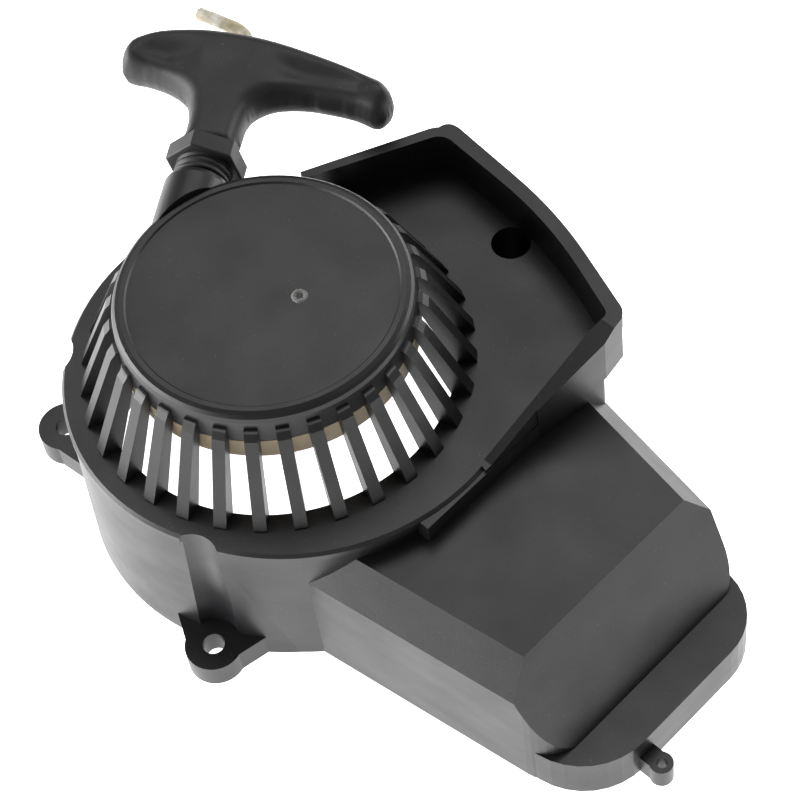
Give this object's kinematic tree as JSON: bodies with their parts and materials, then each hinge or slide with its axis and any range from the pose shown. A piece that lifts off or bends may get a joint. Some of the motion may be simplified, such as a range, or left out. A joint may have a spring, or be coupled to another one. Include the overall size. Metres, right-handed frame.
{
  "type": "recoil starter",
  "caption": "Recoil starter for a small two-stroke engine: black moulded fan housing with a finned round cap and air duct, and a T handle on a braided rope.",
  "frame": {"origin": "on the crankshaft axis at the mounting plane (the open underside of the fan housing)", "axes": "+X along the air duct away from the crankshaft, +Y towards the raised tray, +Z away from the engine, towards the recoil cap's top"},
  "size_m": [0.2132, 0.1351, 0.0789],
  "materials": {
    "housing_plastic": "satin",
    "handle_plastic": "satin",
    "reel_nylon": "satin",
    "rope": "matte",
    "steel": "satin",
    "spring_steel": "satin",
    "zinc": "satin",
    "brass": "satin",
    "bronze": "satin",
    "fibre": "matte"
  },
  "bodies": {
    "housing": {"fan_housing": "housing_plastic", "post_insert": "brass", "rope_eyelet": "steel", "recoil_spring": "spring_steel", "thrust_washer": "fibre", "retaining_washer": "zinc", "lock_washer": "spring_steel", "centre_screw": "zinc"},
    "reel": {"reel": "reel_nylon", "reel_bush": "bronze", "rope_winding": "rope", "reel_knot": "rope", "spring_case": "steel", "spring_cover": "steel", "drive_cup": "steel", "drive_cup_screws": "zinc"},
    "pull": {"rope_lead": "rope", "knot_washer": "zinc", "handle_knot": "rope", "rope_tail": "rope"},
    "handle": {"pull_handle": "handle_plastic"}
  },
  "joints": [
    {"name": "handle_pull", "type": "slide", "parent": "housing", "child": "pull", "axis": [-0.5461, 0.8377, 0], "range_m": [0, 0.52], "stiffness_N_per_m": 10, "springref_m": -0.4},
    {"name": "reel_spin", "type": "hinge", "parent": "housing", "child": "reel", "pos_m": [0, 0, 0.066], "axis": [0, 0, 1], "range_deg": [-1650, 0]},
    {"name": "handle_swivel", "type": "hinge", "parent": "pull", "child": "handle", "pos_m": [-0.05329, 0.03688, 0.0691], "axis": [-0.5461, 0.8377, 0], "continuous": true}
  ],
  "couplings": [
    {"joint": "reel_spin", "follows": "handle_pull", "rad_per_m": -55.2}
  ]
}
